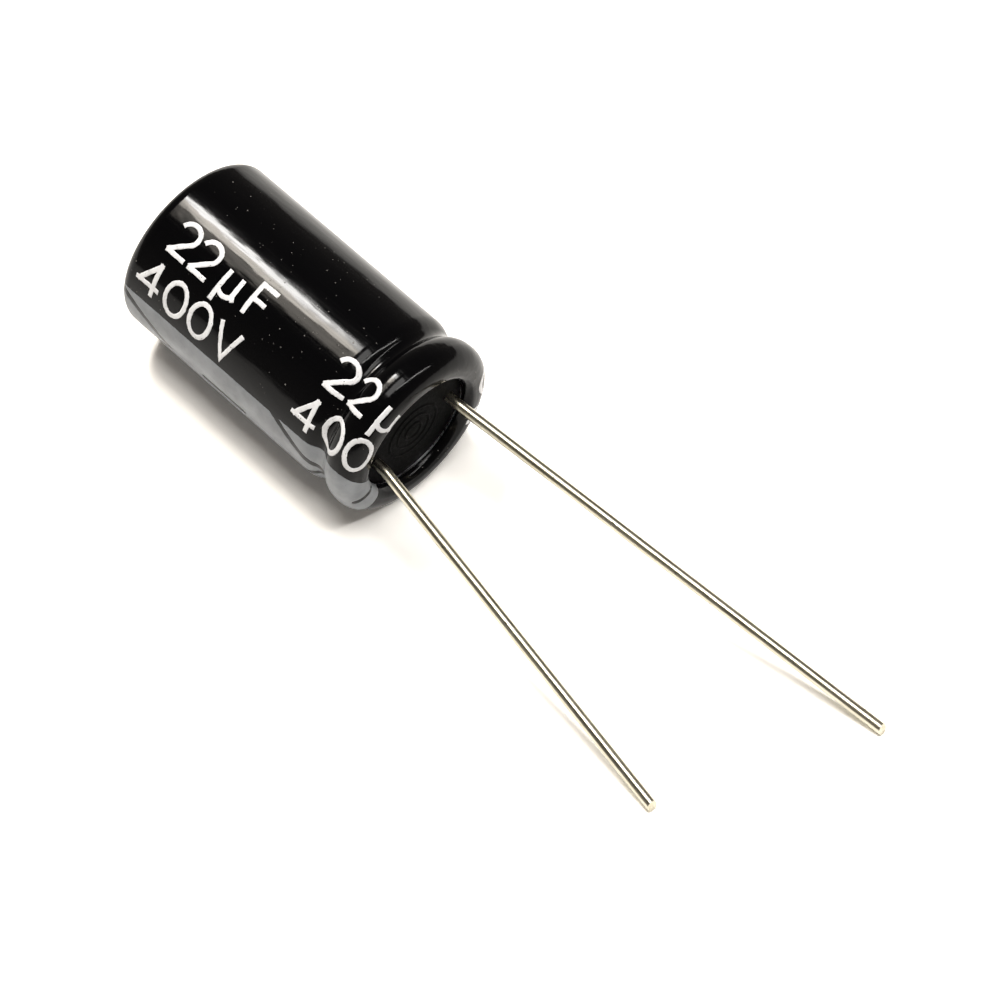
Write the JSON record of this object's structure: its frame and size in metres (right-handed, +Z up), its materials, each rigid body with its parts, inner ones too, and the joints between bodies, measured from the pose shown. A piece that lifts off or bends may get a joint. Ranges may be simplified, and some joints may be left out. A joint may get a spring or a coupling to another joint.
{
  "type": "electrolytic capacitor",
  "caption": "Radial aluminium electrolytic capacitor in a black shrink sleeve with a pale polarity stripe, lying on its side on its two splayed tinned leads.",
  "frame": {"origin": "centre of the seating plane at the rim, on the can's axis", "axes": "+X along the can's axis towards the leads, +Z up as the part lies on a surface"},
  "size_m": [0.0436, 0.012, 0.0104],
  "materials": {
    "sleeve_black": "glossy shrink film",
    "print_grey": "printed ink under gloss",
    "can_aluminium": "drawn, bright",
    "seal_rubber": "moulded, satin",
    "tinned_wire": "tinned, bright",
    "tab_aluminium": "pressed, satin",
    "anode_foil": "etched, matt",
    "cathode_foil": "lightly etched",
    "paper": "soaked kraft paper",
    "tape_brown": "film tape"
  },
  "bodies": {
    "root": {"sleeve": "sleeve_black", "polarity_stripe": "print_grey", "can": "can_aluminium", "bung": "seal_rubber", "anode_lead": "tinned_wire", "cathode_lead": "tinned_wire", "anode_tab": "tab_aluminium", "cathode_tab": "tab_aluminium", "anode_foil": "anode_foil", "inner_separator": "paper", "cathode_foil": "cathode_foil", "outer_separator": "paper", "closing_tape": "tape_brown"}
  },
  "joints": []
}
